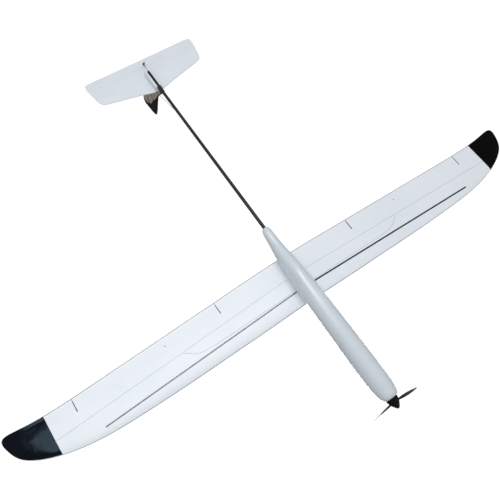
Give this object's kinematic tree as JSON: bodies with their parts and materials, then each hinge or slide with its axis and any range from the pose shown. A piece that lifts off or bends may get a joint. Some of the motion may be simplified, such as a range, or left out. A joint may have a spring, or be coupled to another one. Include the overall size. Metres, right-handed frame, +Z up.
{
  "type": "rc glider",
  "caption": "Electric radio-controlled glider: high straight wing with swept black tips, slim pod, carbon boom, cross tail and folding propeller.",
  "frame": {"origin": "centre of the bounding box in plan, level with the pod's belly", "axes": "+X to the port wing tip, -Y to the nose, +Z up; the boom and the propeller shaft run along Y"},
  "size_m": [1.4994, 1.1572, 0.2222],
  "materials": {
    "pod_gelcoat": "glossy white fibreglass",
    "wing_film": "satin white film over a foam core",
    "tip_black": "glossy black film",
    "carbon_strip": "satin carbon strip",
    "boom_carbon": "satin carbon tube",
    "fin_carbon": "dark brown carbon laminate with black edges",
    "spinner_black": "glossy black moulded nylon",
    "blade_black": "glossy black moulded blades",
    "horn_black": "black nylon",
    "arm_nylon": "natural white nylon",
    "steel_wire": "bright steel",
    "servo_case": "dark moulded case",
    "battery_wrap": "blue shrink wrap",
    "strap_fabric": "black woven strap",
    "plywood": "light birch plywood",
    "firewall_composite": "black glass laminate plate",
    "motor_winding": "aluminium mount with copper windings",
    "motor_can": "anodised aluminium"
  },
  "bodies": {
    "airframe": {"aileron_servo_left": "servo_case", "aileron_servo_right": "servo_case", "battery": "battery_wrap", "battery_strap": "strap_fabric", "boom": "boom_carbon", "boom_former": "plywood", "elevator_servo": "servo_case", "fin": "fin_carbon", "firewall": "firewall_composite", "hatch_magnet_front": "steel_wire", "hatch_magnet_rear": "steel_wire", "motor_screw_left": "steel_wire", "motor_screw_right": "steel_wire", "motor_stator": "motor_winding", "pod_shell": "pod_gelcoat", "receiver": "servo_case", "rudder_servo": "servo_case", "servo_tray": "plywood", "spar_left": "carbon_strip", "spar_right": "carbon_strip", "speed_controller": "servo_case", "stab_pylon": "wing_film", "stabiliser": "wing_film", "tail_clamp": "boom_carbon", "wing": "wing_film", "wing_block": "plywood", "wing_bolt_front": "arm_nylon", "wing_bolt_rear": "arm_nylon", "wing_tip_left": "tip_black", "wing_tip_right": "tip_black"},
    "propeller": {"motor_bell": "motor_can", "motor_shaft": "steel_wire", "spinner": "spinner_black", "spinner_backplate": "spinner_black", "prop_yoke": "motor_can", "blade_pin_left": "steel_wire", "blade_pin_right": "steel_wire"},
    "blade_left": {"blade_left": "blade_black"},
    "blade_right": {"blade_right": "blade_black"},
    "aileron_left": {"aileron_left": "wing_film", "aileron_horn_left": "horn_black"},
    "aileron_right": {"aileron_right": "wing_film", "aileron_horn_right": "horn_black"},
    "aileron_arm_left": {"aileron_arm_left": "arm_nylon"},
    "aileron_arm_right": {"aileron_arm_right": "arm_nylon"},
    "aileron_rod_left": {"aileron_rod_left": "steel_wire"},
    "aileron_rod_right": {"aileron_rod_right": "steel_wire"},
    "elevator": {"elevator": "wing_film", "elevator_horn": "horn_black"},
    "elevator_rod": {"elevator_rod": "steel_wire"},
    "elevator_arm": {"elevator_arm": "arm_nylon"},
    "rudder": {"rudder": "fin_carbon", "rudder_horn": "horn_black"},
    "rudder_rod": {"rudder_rod": "steel_wire"},
    "rudder_arm": {"rudder_arm": "arm_nylon"},
    "hatch": {"hatch": "pod_gelcoat"}
  },
  "joints": [
    {"name": "prop_spin", "type": "hinge", "parent": "airframe", "child": "propeller", "pos_m": [0, -0.56, 0.0215], "axis": [0, -1, 0], "continuous": true},
    {"name": "blade_fold_left", "type": "hinge", "parent": "propeller", "child": "blade_left", "pos_m": [0.009, -0.5626, 0.0215], "axis": [0, 0, 1], "range_deg": [0, 50]},
    {"name": "blade_fold_right", "type": "hinge", "parent": "propeller", "child": "blade_right", "pos_m": [-0.009, -0.5626, 0.0215], "axis": [0, 0, -1], "range_deg": [0, 50]},
    {"name": "aileron_hinge_left", "type": "hinge", "parent": "airframe", "child": "aileron_left", "pos_m": [0.2049, -0.1723, 0.0611], "axis": [0.9996, -0.0292, 0], "range_deg": [-20, 20]},
    {"name": "aileron_hinge_right", "type": "hinge", "parent": "airframe", "child": "aileron_right", "pos_m": [-0.2049, -0.1723, 0.0611], "axis": [0.9996, 0.0292, 0], "range_deg": [-20, 20]},
    {"name": "aileron_arm_left_pivot", "type": "hinge", "parent": "airframe", "child": "aileron_arm_left", "pos_m": [0.353, -0.2, 0.0645], "axis": [0.9996, -0.0292, 0], "range_deg": [-20, 20]},
    {"name": "aileron_arm_right_pivot", "type": "hinge", "parent": "airframe", "child": "aileron_arm_right", "pos_m": [-0.353, -0.2, 0.0645], "axis": [0.9996, 0.0292, 0], "range_deg": [-20, 20]},
    {"name": "aileron_rod_left_pivot", "type": "hinge", "parent": "aileron_arm_left", "child": "aileron_rod_left", "pos_m": [0.353, -0.2, 0.0745], "axis": [0.9996, -0.0292, 0], "range_deg": [-20, 20]},
    {"name": "aileron_rod_right_pivot", "type": "hinge", "parent": "aileron_arm_right", "child": "aileron_rod_right", "pos_m": [-0.353, -0.2, 0.0745], "axis": [0.9996, 0.0292, 0], "range_deg": [-20, 20]},
    {"name": "elevator_hinge", "type": "hinge", "parent": "airframe", "child": "elevator", "pos_m": [0, 0.543, 0.0407], "axis": [1, 0, 0], "range_deg": [-15, 15]},
    {"name": "elevator_rod_slide", "type": "slide", "parent": "airframe", "child": "elevator_rod", "axis": [0, 1, 0], "range_m": [-0.0048, 0.0048]},
    {"name": "elevator_arm_pivot", "type": "hinge", "parent": "airframe", "child": "elevator_arm", "pos_m": [-0.0115, -0.235, 0.0246], "axis": [0, 0, 1], "range_deg": [-28, 28]},
    {"name": "rudder_hinge", "type": "hinge", "parent": "airframe", "child": "rudder", "pos_m": [0, 0.54, 0.05], "axis": [0, 0.0587, 0.9983], "range_deg": [-20, 20]},
    {"name": "rudder_rod_slide", "type": "slide", "parent": "airframe", "child": "rudder_rod", "axis": [0, 1, 0], "range_m": [-0.003, 0.003]},
    {"name": "rudder_arm_pivot", "type": "hinge", "parent": "airframe", "child": "rudder_arm", "pos_m": [0.0115, -0.269, 0.0246], "axis": [0, 0, 1], "range_deg": [-17, 17]},
    {"name": "hatch_lift", "type": "slide", "parent": "airframe", "child": "hatch", "axis": [0, 0, 1], "range_m": [0, 0.06]}
  ],
  "couplings": [
    {"joint": "aileron_arm_left_pivot", "follows": "aileron_hinge_left", "ratio": 1},
    {"joint": "aileron_rod_left_pivot", "follows": "aileron_hinge_left", "ratio": -1},
    {"joint": "aileron_arm_right_pivot", "follows": "aileron_hinge_right", "ratio": 1},
    {"joint": "aileron_rod_right_pivot", "follows": "aileron_hinge_right", "ratio": -1},
    {"joint": "elevator_rod_slide", "follows": "elevator_hinge", "m_per_rad": 0.01789},
    {"joint": "elevator_arm_pivot", "follows": "elevator_hinge", "ratio": 1.8624},
    {"joint": "rudder_rod_slide", "follows": "rudder_hinge", "m_per_rad": 0.008328},
    {"joint": "rudder_arm_pivot", "follows": "rudder_hinge", "ratio": -0.845}
  ]
}
